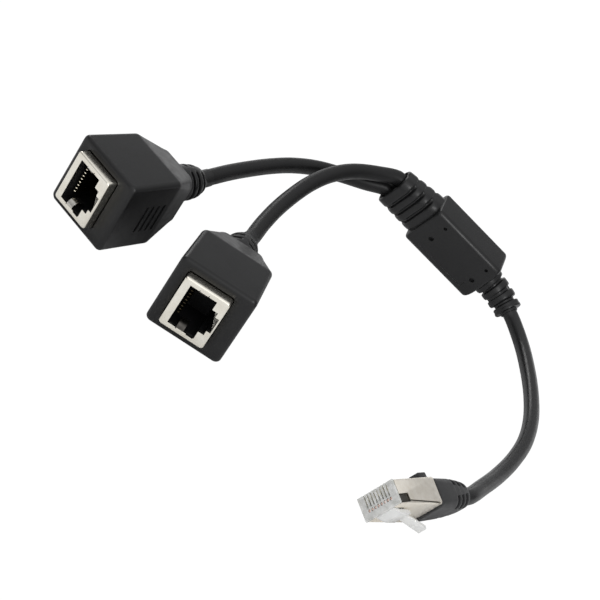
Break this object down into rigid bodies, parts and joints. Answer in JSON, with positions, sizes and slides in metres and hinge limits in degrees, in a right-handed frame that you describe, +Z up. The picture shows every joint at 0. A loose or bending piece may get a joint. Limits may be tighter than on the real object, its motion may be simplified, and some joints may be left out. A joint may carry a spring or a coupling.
{
  "type": "network socket splitter lead",
  "caption": "Short black lead that joins a shielded modular network plug through a moulded splitter body to a pair of shielded network sockets.",
  "frame": {"origin": "on the floor under the middle of the footprint of the rigid pieces", "axes": "+Z up from the table; +Y away from the viewer, from the mating face of socket B towards the splitter body; +X to the viewer's right, from the sockets to the plug"},
  "size_m": [0.1411, 0.1358, 0.0244],
  "materials": {
    "moulded_black": "satin moulded PVC",
    "cable_jacket": "soft gloss",
    "nickel_shield": "nickel plated, satin",
    "insulator_black": "matt",
    "gold_contact": "gold plated",
    "clear_plastic": "clear, polished",
    "conductor_insulation": "satin"
  },
  "bodies": {
    "root": {"socket_a_overmould": "moulded_black", "socket_a_shield": "nickel_shield", "socket_a_insulator": "insulator_black", "socket_a_contact_1": "gold_contact", "socket_a_contact_2": "gold_contact", "socket_a_contact_3": "gold_contact", "socket_a_contact_4": "gold_contact", "socket_a_contact_5": "gold_contact", "socket_a_contact_6": "gold_contact", "socket_a_contact_7": "gold_contact", "socket_a_contact_8": "gold_contact", "socket_b_overmould": "moulded_black", "socket_b_shield": "nickel_shield", "socket_b_insulator": "insulator_black", "socket_b_contact_1": "gold_contact", "socket_b_contact_2": "gold_contact", "socket_b_contact_3": "gold_contact", "socket_b_contact_4": "gold_contact", "socket_b_contact_5": "gold_contact", "socket_b_contact_6": "gold_contact", "socket_b_contact_7": "gold_contact", "socket_b_contact_8": "gold_contact", "splitter_body": "moulded_black", "plug_body": "clear_plastic", "plug_shield": "nickel_shield", "plug_boot": "moulded_black", "plug_blade_1": "gold_contact", "plug_wire_1": "conductor_insulation", "plug_blade_2": "gold_contact", "plug_wire_2": "conductor_insulation", "plug_blade_3": "gold_contact", "plug_wire_3": "conductor_insulation", "plug_blade_4": "gold_contact", "plug_wire_4": "conductor_insulation", "plug_blade_5": "gold_contact", "plug_wire_5": "conductor_insulation", "plug_blade_6": "gold_contact", "plug_wire_6": "conductor_insulation", "plug_blade_7": "gold_contact", "plug_wire_7": "conductor_insulation", "plug_blade_8": "gold_contact", "plug_wire_8": "conductor_insulation", "branch_cable_a": "cable_jacket", "branch_cable_b": "cable_jacket", "trunk_cable": "cable_jacket"}
  },
  "joints": []
}
